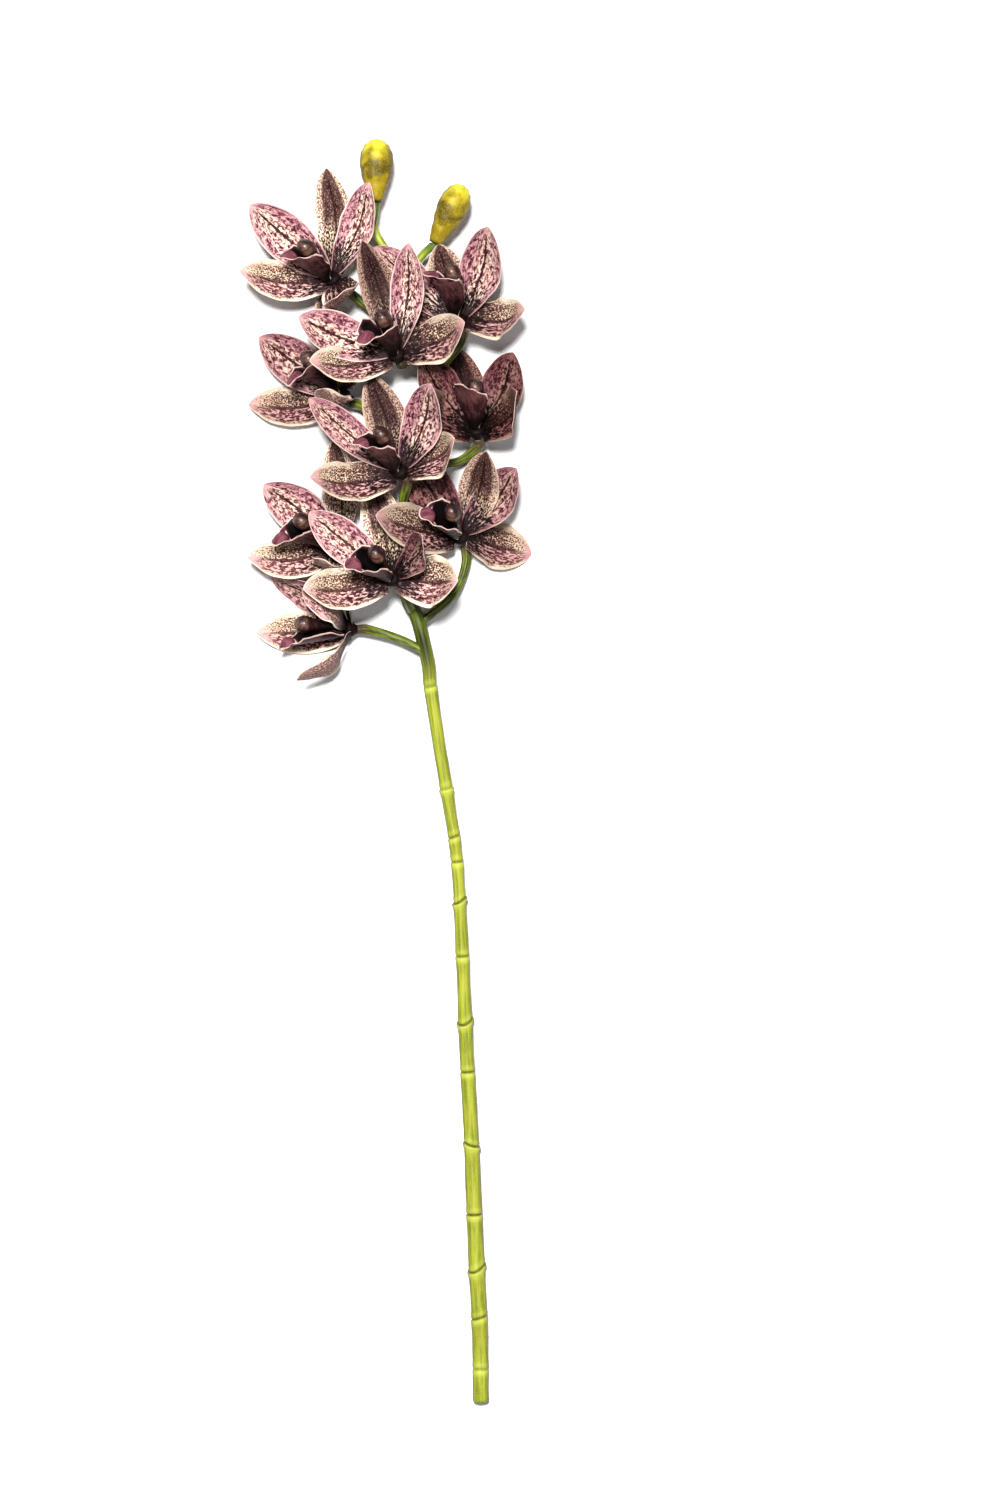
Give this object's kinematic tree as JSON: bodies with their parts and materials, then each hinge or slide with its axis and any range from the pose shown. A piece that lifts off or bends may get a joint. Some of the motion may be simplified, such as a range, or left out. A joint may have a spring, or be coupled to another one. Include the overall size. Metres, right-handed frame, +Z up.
{
  "type": "cymbidium orchid stem",
  "caption": "Cut orchid stem lying flat, jointed green stalk with mauve and maroon blooms in a loose spike and small yellow-green buds at its tip.",
  "frame": {"origin": "centre of the bounding box on the plan, at the height of the surface the stem lies on", "axes": "+Y along the stem from its cut end to the buds, +X to the right of it as seen from above, +Z up from the surface it lies on"},
  "size_m": [0.1754, 0.7622, 0.0824],
  "materials": {
    "stem": "satin yellow-green plant stem",
    "tepal": "soft mauve petal, paler at its edge and darker at its base",
    "lip": "velvety dark maroon with a pale rim",
    "column": "waxy dark maroon",
    "bud": "satin yellow-green bud"
  },
  "bodies": {
    "root": {"stem": "stem", "bloom_01_tepals": "tepal", "bloom_01_lip": "lip", "bloom_01_column": "column", "bloom_02_tepals": "tepal", "bloom_02_lip": "lip", "bloom_02_column": "column", "bloom_03_tepals": "tepal", "bloom_03_lip": "lip", "bloom_03_column": "column", "bloom_04_tepals": "tepal", "bloom_04_lip": "lip", "bloom_04_column": "column", "bloom_05_tepals": "tepal", "bloom_05_lip": "lip", "bloom_05_column": "column", "bloom_06_tepals": "tepal", "bloom_06_lip": "lip", "bloom_06_column": "column", "bloom_07_tepals": "tepal", "bloom_07_lip": "lip", "bloom_07_column": "column", "bloom_08_tepals": "tepal", "bloom_08_lip": "lip", "bloom_08_column": "column", "bloom_09_tepals": "tepal", "bloom_09_lip": "lip", "bloom_09_column": "column", "bloom_10_tepals": "tepal", "bloom_10_lip": "lip", "bloom_10_column": "column", "bud_01": "bud", "bud_02": "bud"}
  },
  "joints": []
}
